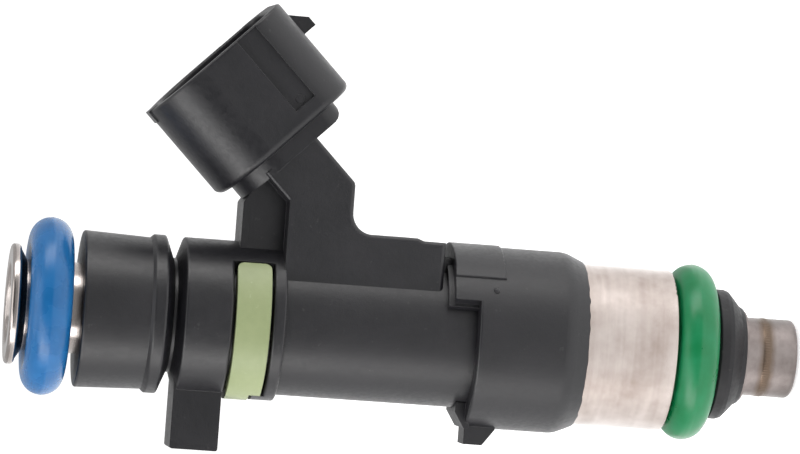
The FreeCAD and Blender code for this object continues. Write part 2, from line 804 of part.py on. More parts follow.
def make_adjusting_tube():
    """Slit tube, pressed down the core's bore until the spring has its load."""
    body = new_body("adjusting_tube")
    revolved(body, "adjuster", box_points("adjuster_bore_radius", "core_bore_radius - 0.01",
                                          "adjuster_foot", "adjuster_top"))
    slit = outline(body, "slit_outline", "XZ_Plane",
                   box_points("0.5", "2", "adjuster_foot - 1", "adjuster_top + 1"))
    thickened(body, "slit", slit, "adjuster_slit", "Pocket")
    return body


def make_return_spring():
    body = new_body("return_spring")
    wire = body.newObject("Sketcher::SketchObject", "wire_section")
    attach(body, wire, "XZ_Plane")
    draw_circle(wire, "spring_radius", "spring_foot + spring_wire_radius + 0.02", "spring_wire_radius")
    coil = body.newObject("PartDesign::AdditiveHelix", "coil")
    coil.Profile = wire
    coil.ReferenceAxis = (wire, ["V_Axis"])
    coil.Mode = 0
    coil.setExpression("Pitch", bound("spring_pitch"))
    coil.setExpression("Height", bound("adjuster_foot - spring_foot - 2 * spring_wire_radius - 0.04"))
    doc.recompute()
    return body


# ---------------------------------------------------------------- coil

def make_coil_housing():
    """Steel can: the outer leg of the magnetic circuit, bare below the shroud."""
    body = new_body("coil_housing")
    inner = "can_radius - can_wall"
    revolved(body, "can", [
        ("seal_seat_radius + fit_gap", "can_foot"),
        ("can_radius", "can_foot"),
        ("can_radius", "can_top"),
        (inner, "can_top"),
        (inner, "can_foot + can_floor"),
        ("seal_seat_radius + fit_gap", "can_foot + can_floor"),
    ])
    rounded(body, "can_shoulder", "soft_edge", circles_at(("can_radius", "can_foot")))
    return body


def make_flux_washer():
    body = new_body("flux_washer")
    revolved(body, "washer", box_points("sleeve_radius + fit_gap", "can_radius - can_wall - 0.02",
                                        "washer_foot", "can_top + 0.15"))
    gap = outline(body, "lead_gap_outline", "XY_Plane",
                  box_points("blade_inner - 0.2", "can_radius", "-blade_pitch / 2 - 0.6",
                             "blade_pitch / 2 + 0.6"), ("0", "0", "can_top + 1"))
    thickened(body, "lead_gap", gap, "2", "Pocket", False)
    return body


def make_coil_bobbin():
    body = new_body("coil_bobbin")
    revolved(body, "spool", [
        ("sleeve_radius + fit_gap", "bobbin_foot"),
        ("bobbin_radius", "bobbin_foot"),
        ("bobbin_radius", "bobbin_foot + bobbin_flange"),
        ("bobbin_hub_radius", "bobbin_foot + bobbin_flange"),
        ("bobbin_hub_radius", "bobbin_top - bobbin_flange"),
        ("bobbin_radius", "bobbin_top - bobbin_flange"),
        ("bobbin_radius", "bobbin_top"),
        ("sleeve_radius + fit_gap", "bobbin_top"),
    ])
    return body


def make_coil_winding():
    body = new_body("coil_winding")
    revolved(body, "winding", box_points("bobbin_hub_radius + 0.02", "winding_radius",
                                         "bobbin_foot + bobbin_flange + 0.03",
                                         "bobbin_top - bobbin_flange - 0.03"))
    return body


def make_terminal(label, sign):
    body = new_body(label)
    blade = outline(body, label + "_outline", "XZ_Plane", blade_outline(),
                    ("0", "0", f"{sign} * blade_pitch / 2"))
    thickened(body, label + "_blade", blade, "blade_thickness")
    rounded(body, label + "_tip", "0.25", blade_tip_edge)
    return body


def blade_tip_edge(edge):
    """A corner across the blade's thickness at its free end in the socket."""
    places = [connector_axes(vertex.Point) for vertex in edge.Vertexes]
    return (all(near(place[2], value("blade_tip")) for place in places)
            and not near(places[0][1], places[1][1]))


# ---------------------------------------------------------------- nozzle and valve

def make_valve_sleeve():
    """Thin non-magnetic sleeve round the armature, from the nozzle body up to the inlet tube."""
    body = new_body("valve_sleeve")
    revolved(body, "sleeve", box_points("core_radius", "sleeve_radius", "sleeve_foot",
                                        "housing_foot - 0.1"))
    return body


def make_nozzle_body():
    body = new_body("nozzle_body")
    revolved(body, "nozzle", [
        ("spray_bore_radius", "0"),
        ("tip_radius", "0"),
        ("tip_radius", "tip_top"),
        ("seal_seat_radius", "tip_top"),
        ("seal_seat_radius", "nozzle_top"),
        ("sleeve_radius + 0.01", "nozzle_top"),
        ("sleeve_radius + 0.01", "sleeve_foot"),
        ("core_radius - 0.4", "sleeve_foot"),
        ("core_radius - 0.4", "sleeve_foot - 3"),
        ("seat_bore_radius", "sleeve_foot - 4"),
        ("seat_bore_radius", "seat_level - 0.2"),
        ("spray_bore_radius", "seat_level - 0.2"),
    ])
    rounded(body, "tip_edge", "tip_round", circles_at(("tip_radius", "0")))
    rounded(body, "spray_bore_edge", "0.25", circles_at(("spray_bore_radius", "0")))
    return body


def make_valve_seat():
    """Disc with a 45 degree conical seat over its outlet hole."""
    body = new_body("valve_seat")
    outlet_top = "seat_level + seat_height - 1.2"
    revolved(body, "seat", [
        ("orifice_radius", "seat_level"),
        ("seat_bore_radius - 0.01", "seat_level"),
        ("seat_bore_radius - 0.01", "seat_level + seat_height"),
        ("orifice_radius + 1.2", "seat_level + seat_height"),
        ("orifice_radius", outlet_top),
    ])
    return body


BALL_LEVEL = "seat_level + seat_height - 1.2 - orifice_radius + ball_radius * sqrt(2) + 0.03"


def make_ball_guide():
    """Ring that keeps the ball central, with slots that let the fuel past."""
    body = new_body("ball_guide")
    foot = "seat_level + seat_height + 0.02"
    revolved(body, "guide", box_points("ball_radius + 0.05", "seat_bore_radius - 0.01", foot,
                                       f"{foot} + guide_height"))
    slot = outline(body, "guide_slot_outline", "XY_Plane",
                   box_points("1.0", "1.9", "-guide_slot_width / 2", "guide_slot_width / 2"),
                   ("0", "0", f"{foot} + 2"))
    first = thickened(body, "guide_slot", slot, "3", "Pocket", False)
    slots = body.newObject("PartDesign::PolarPattern", "guide_slots")
    slots.Originals = [first]
    slots.Axis = (slot, ["N_Axis"])
    slots.Angle = 360
    slots.setExpression("Occurrences", bound("guide_slot_count"))
    body.Tip = slots
    doc.recompute()
    return body


def make_spray_plate():
    """Thin plate under the seat with the metering holes."""
    body = new_body("spray_plate")
    revolved(body, "plate", box_points("0", "spray_bore_radius + 0.5", "seat_level - 0.18",
                                       "seat_level - 0.01"))
    hole = body.newObject("Sketcher::SketchObject", "metering_hole_outline")
    attach(body, hole, "XY_Plane", ("0", "0", "seat_level + 1"))
    draw_circle(hole, "orifice_radius - 0.18", "0", "metering_hole_radius")
    first = thickened(body, "metering_hole", hole, "2", "Pocket", False)
    holes = body.newObject("PartDesign::PolarPattern", "metering_holes")
    holes.Originals = [first]
    holes.Axis = (hole, ["N_Axis"])
    holes.Angle = 360
    holes.setExpression("Occurrences", bound("metering_hole_count"))
    body.Tip = holes
    doc.recompute()
    return body


def make_valve_ball():
    ball = doc.addObject("Part::Sphere", "valve_ball")
    ball.Label = "valve_ball"
    ball.setExpression("Radius", bound("ball_radius"))
    ball.setExpression("Placement.Base.z", bound(BALL_LEVEL))
    return ball


def make_needle_tube():
    """Hollow needle between the ball and the armature, cross-drilled for the fuel."""
    body = new_body("needle_tube")
    foot = f"{BALL_LEVEL} + sqrt(ball_radius ^ 2 - needle_bore_radius ^ 2) + 0.01"
    revolved(body, "needle", box_points("needle_bore_radius", "needle_radius", foot,
                                        "armature_foot + 1"))
    hole = body.newObject("Sketcher::SketchObject", "cross_hole_outline")
    attach(body, hole, "XZ_Plane")
    draw_circle(hole, "0", "seat_level + 6", "cross_hole_radius")
    thickened(body, "cross_hole", hole, "4", "Pocket")
    return body


def make_armature():
    body = new_body("armature")
    revolved(body, "plunger", [
        ("needle_radius + 0.01", "armature_foot"),
        ("armature_radius - 0.5", "armature_foot"),
        ("armature_radius", "armature_foot + 0.5"),
        ("armature_radius", "armature_top - 0.15"),
        ("armature_radius - 0.15", "armature_top"),
        ("core_bore_radius", "armature_top"),
        ("core_bore_radius", "spring_foot"),
        ("needle_radius + 0.01", "spring_foot"),
    ])
    return body


# ---------------------------------------------------------------- whole injector

def make_parts():
    parts = [make_upper_housing(), make_lower_shroud(), make_colour_ring()]
    parts += [make_seal("upper_o_ring", "upper_seal_level"), make_seal("lower_o_ring", "lower_seal_level")]
    parts += [make_seal_retainer(), make_inlet_tube(), *make_filter()]
    parts += [make_pole_core(), make_adjusting_tube(), make_return_spring()]
    parts += [make_coil_housing(), make_flux_washer(), make_coil_bobbin(), make_coil_winding()]
    parts += [make_terminal("terminal_near", 1), make_terminal("terminal_far", -1)]
    parts += [make_valve_sleeve(), make_nozzle_body(), make_valve_seat(), make_ball_guide()]
    parts += [make_spray_plate(), make_valve_ball(), make_needle_tube(), make_armature()]
    return parts


def check(parts):
    """Stop on a failed feature or a bad solid before anything is written."""
    for item in doc.Objects:
        if "Invalid" in item.State or "Error" in item.State:
            raise RuntimeError(f"{item.Name} failed: {item.State}")
    for part in parts:
        if part.Shape.isNull() or not part.Shape.isValid() or not part.Shape.Solids:
            raise RuntimeError(f"{part.Label} has no valid solid")
        box = part.Shape.BoundBox
        print(f"{part.Label:22s} solids {len(part.Shape.Solids)} volume {part.Shape.Volume:9.2f} "
              f"z {box.ZMin:6.2f} {box.ZMax:6.2f}")


def write(parts):
    os.makedirs("parts", exist_ok=True)
    for part in parts:
        part.Shape.exportStep(f"parts/{part.Label}.step")


fill_sheet()
all_parts = make_parts()
doc.recompute()
check(all_parts)
write(all_parts)
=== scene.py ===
import json
import math
import random

import bmesh
import bpy
from mathutils import Matrix, Vector


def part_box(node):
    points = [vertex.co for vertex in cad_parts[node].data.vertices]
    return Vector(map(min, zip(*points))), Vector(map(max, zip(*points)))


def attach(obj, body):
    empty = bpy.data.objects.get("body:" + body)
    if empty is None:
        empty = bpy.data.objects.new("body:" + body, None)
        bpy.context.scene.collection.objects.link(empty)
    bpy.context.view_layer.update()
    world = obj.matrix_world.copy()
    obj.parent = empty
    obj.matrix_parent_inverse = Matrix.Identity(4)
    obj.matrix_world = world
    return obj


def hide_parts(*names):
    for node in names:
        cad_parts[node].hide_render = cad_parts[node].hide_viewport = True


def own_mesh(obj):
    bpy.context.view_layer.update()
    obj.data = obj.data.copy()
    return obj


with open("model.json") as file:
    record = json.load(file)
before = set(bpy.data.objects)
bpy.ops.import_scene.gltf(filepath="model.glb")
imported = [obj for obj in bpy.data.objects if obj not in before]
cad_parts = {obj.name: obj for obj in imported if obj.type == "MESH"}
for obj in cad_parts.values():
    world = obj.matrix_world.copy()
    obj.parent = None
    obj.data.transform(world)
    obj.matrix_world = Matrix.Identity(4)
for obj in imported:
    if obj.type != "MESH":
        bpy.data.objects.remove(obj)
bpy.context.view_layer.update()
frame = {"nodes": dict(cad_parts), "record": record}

MM = 0.001
NODE_CREASE = 28.0  # degrees between faces that keep a sharp edge on a CAD node
PIECE_CREASE = 35.0  # the same on a piece built here


# ---------------------------------------------------------------- scene and node helpers

def set_range(node, span, result):
    """Make a Map Range node carry one span of values over to another."""
    for name, number in zip(("From Min", "From Max", "To Min", "To Max"), (*span, *result)):
        node.inputs[name].default_value = number


def add_object(name, content):
    """Put a mesh, a light or a camera into the scene as an object."""
    thing = bpy.data.objects.new(name, content)
    bpy.context.scene.collection.objects.link(thing)
    return thing


class Graph:
    """A material's node tree, with short calls for the nodes that the materials share."""

    # The Mix node gives its sockets the same names for every data type, so the colour ones go by place.
    MIX_FACTOR, MIX_FIRST, MIX_SECOND, MIX_RESULT = 0, 6, 7, 2

    def __init__(self, name):
        self.material = bpy.data.materials.new(name)
        self.material.use_nodes = True
        self.tree = self.material.node_tree
        self.tree.nodes.clear()
        self.output = self.add("ShaderNodeOutputMaterial")
        self.place = self.add("ShaderNodeTexCoord").outputs["Object"]

    def add(self, kind, **settings):
        node = self.tree.nodes.new(kind)
        for key, setting in settings.items():
            setattr(node, key, setting)
        return node

    def join(self, source, target):
        self.tree.links.new(source, target)

    def feed(self, socket, source):
        """Link a socket to another one, or set it to a constant; a colour comes without its alpha."""
        if isinstance(source, bpy.types.NodeSocket):
            self.join(source, socket)
        elif socket.type == "RGBA":
            socket.default_value = (*source, 1.0)
        else:
            socket.default_value = source

    def noise(self, scale, detail, roughness, vector=None):
        """Noise with this many features to the metre, or to the unit of its own vector."""
        node = self.add("ShaderNodeTexNoise")
        self.join(vector or self.place, node.inputs["Vector"])
        node.inputs["Scale"].default_value = scale
        node.inputs["Detail"].default_value = detail
        node.inputs["Roughness"].default_value = roughness
        return node.outputs["Fac"]

    def stretched(self, x, y, z):
        """The object's coordinates, each multiplied by its own number."""
        node = self.add("ShaderNodeMapping")
        self.join(self.place, node.inputs["Vector"])
        node.inputs["Scale"].default_value = (x, y, z)
        return node.outputs["Vector"]

    def tool_lines(self):
        """Fine noise drawn out round the Z axis, as a cutting tool leaves it."""
        return self.noise(scale=1.0, detail=3.0, roughness=0.7, vector=self.stretched(60.0, 60.0, 9000.0))

    def remap(self, source, span, result=(0.0, 1.0)):
        """A value carried over from one span to another, and held at the ends."""
        node = self.add("ShaderNodeMapRange")
        self.join(source, node.inputs["Value"])
        set_range(node, span, result)
        return node.outputs["Result"]

    def math(self, operation, *sources):
        node = self.add("ShaderNodeMath", operation=operation)
        for socket, source in zip(node.inputs, sources):
            self.feed(socket, source)
        return node.outputs["Value"]

    def weighted(self, first, share, second):
        """The share of the first value, and the rest of the second one."""
        rest = self.math("MULTIPLY", second, 1.0 - share)
        return self.math("MULTIPLY_ADD", first, share, rest)

    def mix(self, factor, first, second):
        """Two colours, each an RGB tuple or a socket, mixed by the factor."""
        node = self.add("ShaderNodeMix", data_type="RGBA")
        self.feed(node.inputs[self.MIX_FACTOR], factor)
        self.feed(node.inputs[self.MIX_FIRST], first)
        self.feed(node.inputs[self.MIX_SECOND], second)
        return node.outputs[self.MIX_RESULT]

    def axis(self, name):
        """One of the object's coordinates, in metres."""
        node = self.add("ShaderNodeSeparateXYZ")
        self.join(self.place, node.inputs["Vector"])
        return node.outputs[name]

    def bump(self, height, depth, strength, normal=None):
        """A normal that follows a height of this depth in metres, on top of another normal."""
        node = self.add("ShaderNodeBump")
        node.inputs["Strength"].default_value = strength
        node.inputs["Distance"].default_value = depth
        self.join(height, node.inputs["Height"])
        if normal is not None:
            self.join(normal, node.inputs["Normal"])
        return node.outputs["Normal"]

    def worn_edges(self, radius):
        """A normal that rounds every sharp edge a little."""
        node = self.add("ShaderNodeBevel", samples=4)
        node.inputs["Radius"].default_value = radius
        return node.outputs["Normal"]

    def surface(self, **inputs):
        """The Principled shader, linked to the output; inputs are its socket names with underscores."""
        shader = self.add("ShaderNodeBsdfPrincipled")
        for key, source in inputs.items():
            self.feed(shader.inputs[key.replace("_", " ")], source)
        self.join(shader.outputs["BSDF"], self.output.inputs["Surface"])
        return self.material


# ---------------------------------------------------------------- materials

def moulded_plastic(name, dark, light, dusty, rough, specular):
    """Glass-filled nylon: fine mould grain, faint flow waves, worn edges and specks of dust."""
    edge_radius = 0.1 * MM
    flow_depth = 0.02 * MM
    grain_depth = 0.012 * MM
    g = Graph(name)
    cloud = g.noise(scale=260.0, detail=4.0, roughness=0.6)
    fibre = g.noise(scale=2600.0, detail=3.0, roughness=0.55)
    fine = g.noise(scale=9000.0, detail=2.0, roughness=0.5)
    dust = g.noise(scale=1500.0, detail=2.0, roughness=0.7)
    moulded = g.mix(g.remap(cloud, span=(0.35, 0.7)), dark, light)
    colour = g.mix(g.remap(dust, span=(0.68, 0.75), result=(0.0, 0.5)), moulded, dusty)
    roughness = g.remap(g.weighted(fibre, 0.6, cloud), span=(0.35, 0.65), result=rough)
    flow = g.bump(cloud, flow_depth, strength=0.5, normal=g.worn_edges(edge_radius))
    grain = g.math("MULTIPLY_ADD", fine, 0.5, fibre)
    normal = g.bump(grain, grain_depth, strength=0.8, normal=flow)
    return g.surface(Base_Color=colour, Roughness=roughness, Normal=normal, Specular_IOR_Level=specular)


def seal_rubber(name, deep, pale, rough):
    """Smooth fluorocarbon rubber with faint moulding waves and a bloom in patches."""
    wave_depth = 0.012 * MM
    grain_depth = 0.005 * MM
    g = Graph(name)
    cloud = g.noise(scale=420.0, detail=3.0, roughness=0.55)
    fine = g.noise(scale=5200.0, detail=2.0, roughness=0.5)
    colour = g.mix(g.remap(cloud, span=(0.35, 0.7)), deep, pale)
    roughness = g.remap(cloud, span=(0.3, 0.7), result=rough)
    waves = g.bump(cloud, wave_depth, strength=0.4)
    normal = g.bump(fine, grain_depth, strength=0.5, normal=waves)
    return g.surface(Base_Color=colour, Roughness=roughness, Normal=normal,
                     Subsurface_Weight=0.12, Subsurface_Scale=0.8 * MM,
                     Subsurface_Radius=(0.6, 0.8, 1.0), Specular_IOR_Level=0.34)


def turned_steel(name, dark, light, rough, lines=1.0):
    """Metal turned about Z, with soft stains and handling marks; lines scales the tool lines' depth."""
    line_depth = 0.004 * MM * lines
    band_depth = 0.006 * MM * lines
    g = Graph(name)
    tool = g.tool_lines()
    wide = g.noise(scale=1.0, detail=2.0, roughness=0.5, vector=g.stretched(90.0, 90.0, 1400.0))
    stain = g.noise(scale=210.0, detail=5.0, roughness=0.6)
    colour = g.mix(g.remap(g.weighted(stain, 0.75, wide), span=(0.36, 0.64)), dark, light)
    roughness = g.remap(g.weighted(tool, 0.5, stain), span=(0.35, 0.65), result=rough)
    bands = g.bump(wide, band_depth, strength=0.5)
    normal = g.bump(tool, line_depth, strength=0.7, normal=bands)
    return g.surface(Base_Color=colour, Metallic=1.0, Roughness=roughness, Normal=normal)


def tinted_steel(name, dark, light, rough, tint, level, half_width):
    """Ground steel with the brown heat tint of a weld round it at one level."""
    line_depth = 0.004 * MM
    g = Graph(name)
    tool = g.tool_lines()
    stain = g.noise(scale=420.0, detail=5.0, roughness=0.62)
    steel = g.mix(g.remap(stain, span=(0.36, 0.64)), dark, light)
    wander = g.noise(scale=900.0, detail=3.0, roughness=0.6)
    above = g.math("SUBTRACT", g.axis("Z"), level + 0.25 * half_width)
    ragged = g.math("MULTIPLY_ADD", wander, 0.5 * half_width, above)
    away = g.math("DIVIDE", g.math("ABSOLUTE", ragged), half_width)
    near = g.math("SUBTRACT", 1.0, away)
    colour = g.mix(g.remap(near, span=(0.0, 0.7), result=(0.0, 0.85)), steel, tint)
    roughness = g.remap(g.weighted(tool, 0.5, stain), span=(0.35, 0.65), result=rough)
    normal = g.bump(tool, line_depth, strength=0.7)
    return g.surface(Base_Color=colour, Metallic=1.0, Roughness=roughness, Normal=normal)


# The weld near the nozzle's end: its bead is a piece, and its heat tint is in nozzle_steel.
WELD_LEVEL = 2.6 * MM

# Every material slot's recipe and what is its own in it.
LOOKS = {
    "housing_plastic": (moulded_plastic, dict(
        dark=(0.005, 0.005, 0.0068), light=(0.0085, 0.0082, 0.0105), dusty=(0.03, 0.029, 0.03),
        rough=(0.33, 0.48), specular=0.48)),
    "retainer_plastic": (moulded_plastic, dict(
        dark=(0.007, 0.0065, 0.0085), light=(0.012, 0.011, 0.013), dusty=(0.04, 0.036, 0.035),
        rough=(0.4, 0.58), specular=0.32)),
    "ring_plastic": (moulded_plastic, dict(
        dark=(0.215, 0.255, 0.125), light=(0.26, 0.3, 0.158), dusty=(0.33, 0.37, 0.24),
        rough=(0.34, 0.46), specular=0.45)),
    "filter_plastic": (moulded_plastic, dict(
        dark=(0.5, 0.46, 0.36), light=(0.62, 0.58, 0.47), dusty=(0.4, 0.36, 0.28),
        rough=(0.4, 0.55), specular=0.45)),
    "blue_rubber": (seal_rubber, dict(
        deep=(0.006, 0.09, 0.25), pale=(0.013, 0.118, 0.31), rough=(0.22, 0.32))),
    "green_rubber": (seal_rubber, dict(
        deep=(0.004, 0.14, 0.045), pale=(0.009, 0.18, 0.07), rough=(0.26, 0.38))),
    "stainless_steel": (turned_steel, dict(
        dark=(0.33, 0.295, 0.28), light=(0.48, 0.44, 0.42), rough=(0.16, 0.28))),
    "can_steel": (turned_steel, dict(
        dark=(0.3, 0.247, 0.222), light=(0.49, 0.437, 0.412), rough=(0.14, 0.24), lines=0.5)),
    "nozzle_steel": (tinted_steel, dict(
        dark=(0.17, 0.145, 0.138), light=(0.26, 0.228, 0.22), rough=(0.26, 0.42),
        tint=(0.11, 0.075, 0.05), level=WELD_LEVEL, half_width=0.8 * MM)),
    "magnetic_steel": (turned_steel, dict(
        dark=(0.36, 0.35, 0.34), light=(0.5, 0.49, 0.48), rough=(0.25, 0.4))),
    "spring_steel": (turned_steel, dict(
        dark=(0.45, 0.45, 0.46), light=(0.6, 0.6, 0.61), rough=(0.15, 0.28))),
    "brass": (turned_steel, dict(
        dark=(0.62, 0.42, 0.14), light=(0.78, 0.56, 0.22), rough=(0.2, 0.36))),
    "copper": (turned_steel, dict(
        dark=(0.45, 0.16, 0.07), light=(0.66, 0.28, 0.14), rough=(0.25, 0.4), lines=4.0)),
    "tinned_contact": (turned_steel, dict(
        dark=(0.55, 0.54, 0.5), light=(0.75, 0.74, 0.7), rough=(0.2, 0.32))),
}
MATERIALS = {name: make(name, **look) for name, (make, look) in LOOKS.items()}


def smooth_by_angle(mesh, degrees):
    """Smooth shading with edges kept sharp where the faces meet at more than the angle."""
    mesh.shade_smooth()
    mesh.set_sharp_from_angle(angle=math.radians(degrees))


def dress_nodes():
    """Give every CAD node its slot's material and smooth shading between its sharp edges."""
    slots = {part["node"]: part["material_slot"] for part in frame["record"]["subparts"]}
    for name, node in frame["nodes"].items():
        node.data.materials.clear()
        node.data.materials.append(MATERIALS[slots[name]])
        smooth_by_angle(node.data, NODE_CREASE)


# ---------------------------------------------------------------- mesh helpers

def add_piece(name, points, faces, slot):
    """Build a mesh piece with outward faces and a slot's material, and let it ride on the injector."""
    mesh = bpy.data.meshes.new(name)
    mesh.from_pydata(points, [], faces)
    shell = bmesh.new()
    shell.from_mesh(mesh)
    bmesh.ops.recalc_face_normals(shell, faces=shell.faces)
    shell.to_mesh(mesh)
    shell.free()
    mesh.materials.append(MATERIALS[slot])
    smooth_by_angle(mesh, PIECE_CREASE)
    piece = add_object(name, mesh)
    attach(piece, "injector")
    return piece


def around(radius, angle, level):
    """The point at a radius and an angle round the Z axis, at a level on it."""
    return Vector((radius * math.cos(angle), radius * math.sin(angle), level))


def placed(points, centre, normal):
    """Points drawn at the origin, turned to stand along a normal and moved to a centre."""
    turn = Vector((0.0, 0.0, 1.0)).rotation_difference(normal).to_matrix()
    return [centre + turn @ point for point in points]


def joined_rings(rings, count, closed):
    """Quads between successive rings of points, each ring closed on itself."""
    faces = []
    for ring in range(rings if closed else rings - 1):
        here = ring * count
        there = (ring + 1) % rings * count
        for index in range(count):
            after = (index + 1) % count
            faces.append((here + index, here + after, there + after, there + index))
    return faces


def turned_ring(section_at, steps):
    """Points and faces of a ring about Z; section_at(angle) lists its radius and level pairs."""
    points = []
    for step in range(steps):
        angle = 2 * math.pi * step / steps
        points += [around(radius, angle, level) for radius, level in section_at(angle)]
    return points, joined_rings(steps, len(points) // steps, closed=True)


def wire(path, radius, sides, closed):
    """Points and faces of a round wire that runs round the Z axis or along it."""
    points = []
    last = len(path) - 1
    for index, place in enumerate(path):
        ahead = path[(index + 1) % len(path)] if closed else path[min(index + 1, last)]
        behind = path[index - 1] if closed else path[max(index - 1, 0)]
        along = (ahead - behind).normalized()
        side = along.cross(Vector((place.x, place.y, 0.0))).normalized()
        out = side.cross(along)
        for corner in range(sides):
            turn = 2 * math.pi * corner / sides
            points.append(place + radius * (math.cos(turn) * out + math.sin(turn) * side))
    faces = joined_rings(len(path), sides, closed)
    if not closed:
        faces.append(tuple(range(sides)))
        faces.append(tuple(last * sides + corner for corner in reversed(range(sides))))
    return points, faces


def gathered(meshes):
    """Several lists of points and faces as one."""
    points, faces = [], []
    for more_points, more_faces in meshes:
        shift = len(points)
        points += more_points
        faces += [tuple(shift + corner for corner in face) for face in more_faces]
    return points, faces


# ---------------------------------------------------------------- pieces

def make_seal_ring(name, node, slot):
    """O-ring with the fine flash line that its two mould halves leave inside and outside."""
    low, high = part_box(node)
    cord_radius = (high.z - low.z) / 2
    centre = high.x - cord_radius
    level = (high.z + low.z) / 2
    flash = 0.022 * MM
    flash_half_angle = math.radians(2.2)
    corners = 72
    steps = 160

    def section_at(angle):
        section = []
        for index in range(corners):
            turn = 2 * math.pi * index / corners
            off_line = min(abs(math.sin(turn)) / math.sin(flash_half_angle), 1.0)
            swell = cord_radius - flash + flash * (1 - off_line) ** 2
            section.append((centre + swell * math.cos(turn), level + swell * math.sin(turn)))
        return section

    ring = add_piece(name, *turned_ring(section_at, steps), slot)
    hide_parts(node)


def make_weld_bead():
    """Laser weld round the nozzle tip: a low bead of overlapping ripples."""
    radius = 3.25 * MM
    root_radius = radius - 0.1 * MM
    half_width = 0.34 * MM
    height = 0.035 * MM
    ripples = 90
    bow = 0.6  # how far a ripple trails in the middle of the bead, as an angle of its wave
    half_rows = 6
    steps = 720

    def section_at(angle):
        phase = ripples * angle
        straight = 0.5 + 0.5 * math.sin(phase)
        section = [(root_radius, WELD_LEVEL - half_width), (root_radius, WELD_LEVEL + half_width)]
        for row in range(2 * half_rows + 1):
            across = 1 - row / half_rows
            trail = bow * math.sin(math.pi * (across + 1) / 2)
            bowed = 0.75 + 0.25 * math.sin(phase - trail)
            rise = height * (1 - across * across) * (0.8 * bowed + 0.2 * straight)
            section.append((radius + rise, WELD_LEVEL + half_width * across))
        return section

    add_piece("weld_bead", *turned_ring(section_at, steps), "nozzle_steel")


def make_winding():
    """Enamelled wire laid turn by turn on the bobbin, in three layers."""
    low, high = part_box("coil_winding")
    wire_radius = 0.125 * MM
    top_layer, layer_step = 1.02, 1.8  # in wire radii, from the outside inwards
    layer_count = 3
    steps_per_turn = 40
    sides = 6
    start = low.z + wire_radius
    climb = high.z - low.z - 2 * wire_radius
    turns = int(climb / (2 * wire_radius))
    steps = turns * steps_per_turn
    layers = []
    for layer in range(layer_count):
        radius = high.x - wire_radius * (top_layer + layer_step * layer)
        direction = (-1) ** layer
        path = []
        for step in range(steps + 1):
            angle = 2 * math.pi * turns * step / steps * direction
            path.append(around(radius, angle, start + climb * step / steps))
        layers.append(wire(path, wire_radius, sides, closed=False))
    winding = add_piece("winding_turns", *gathered(layers), "copper")
    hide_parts("coil_winding")


def make_spring_coils():
    """Return spring with closed end turns, on a mesh of its own; the valve's lift shortens the real
    spring towards the adjusting tube.
    """
    low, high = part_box("return_spring")
    wire_radius = 0.17 * MM
    radius = high.x - wire_radius
    turns = 13.5
    closed = 1.25
    closed_pitch = 2.05 * wire_radius  # the end turns nearly touch
    closed_climb = closed_pitch * closed
    start = low.z + wire_radius
    climb = high.z - low.z - 2 * wire_radius
    steps = 540
    sides = 12

    def rise_at(turn):
        if turn < closed:
            return closed_climb * turn / closed
        if turn > turns - closed:
            return climb - closed_climb * (turns - turn) / closed
        return closed_climb + (climb - 2 * closed_climb) * (turn - closed) / (turns - 2 * closed)

    path = []
    for step in range(steps + 1):
        turn = turns * step / steps
        path.append(around(radius, 2 * math.pi * turn, start + rise_at(turn)))
    spring = add_piece("spring_coils", *wire(path, wire_radius, sides, closed=False), "spring_steel")
    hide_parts("return_spring")
    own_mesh(spring)


def make_filter_weave():
    """Plain weave: upright wires and hoops that pass over and under each other."""
    low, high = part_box("filter_mesh")
    height = high.z - low.z
    middle = high.x - 0.05 * MM
    thread = 0.024 * MM
    uprights = 40
    hoops = 30
    steps_between = 4
    sides = 5
    wires = []
    upright_steps = hoops * steps_between
    for upright in range(uprights):
        angle = 2 * math.pi * upright / uprights
        path = []
        for step in range(upright_steps + 1):
            share = step / upright_steps
            wave = math.cos(math.pi * (share * hoops - 0.5) + math.pi * upright)
            path.append(around(middle + thread * wave, angle, low.z + share * height))
        wires.append(wire(path, thread, sides, closed=False))
    hoop_steps = uprights * steps_between
    for hoop in range(hoops):
        level = low.z + (hoop + 0.5) / hoops * height
        path = []
        for step in range(hoop_steps):
            angle = 2 * math.pi * step / hoop_steps
            wave = math.cos(uprights * angle / 2 + math.pi * hoop)
            path.append(around(middle - thread * wave, angle, level))
        wires.append(wire(path, thread, sides, closed=True))
    weave = add_piece("filter_weave", *gathered(wires), "filter_plastic")
    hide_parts("filter_mesh")


def make_foot_flash():
    """Torn edge of moulding flash where the shroud ends on the steel can."""
    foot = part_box("lower_shroud")[0].z
    can_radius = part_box("coil_housing")[1].x
    inner = can_radius - 0.02 * MM
    top = foot + 0.2 * MM
    lip, shoulder, root = 0.05 * MM, 0.13 * MM, 0.17 * MM
    mean_reach, uneven_reach = 0.06, 0.05  # millimetres
    least_swell, most_swell = -1.0, 2.2
    wave_counts = range(2, 41, 3)
    smallest_wave, largest_wave = 0.3, 1.0
    calming = 3
    draw = random.Random(18)
    waves = [(count, draw.uniform(0.0, 2 * math.pi), draw.uniform(smallest_wave, largest_wave))
             for count in wave_counts]
    steps = 540

    def section_at(angle):
        swell = sum(size * math.sin(count * angle + phase) for count, phase, size in waves) / calming
        reach = (mean_reach + uneven_reach * max(least_swell, min(swell, most_swell))) * MM
        return [(inner, top), (inner, foot - reach), (inner + lip, foot - reach),
                (inner + shoulder, foot - 0.3 * reach), (inner + root, top)]

    add_piece("foot_flash", *turned_ring(section_at, steps), "housing_plastic")


def make_ejector_ring(name, centre, normal):
    """The thin raised ring that an ejector pin leaves on a moulded face."""
    radius = 0.38 * MM
    rim = 0.05 * MM
    shoulder = 0.6 * rim
    height = 0.03 * MM
    crest = 1.3 * height
    steps = 64

    def section_at(angle):
        return [(radius - rim, -height), (radius + rim, -height), (radius + shoulder, height),
                (radius, crest), (radius - shoulder, height)]

    points, faces = turned_ring(section_at, steps)
    add_piece(name, placed(points, centre, normal), faces, "housing_plastic")


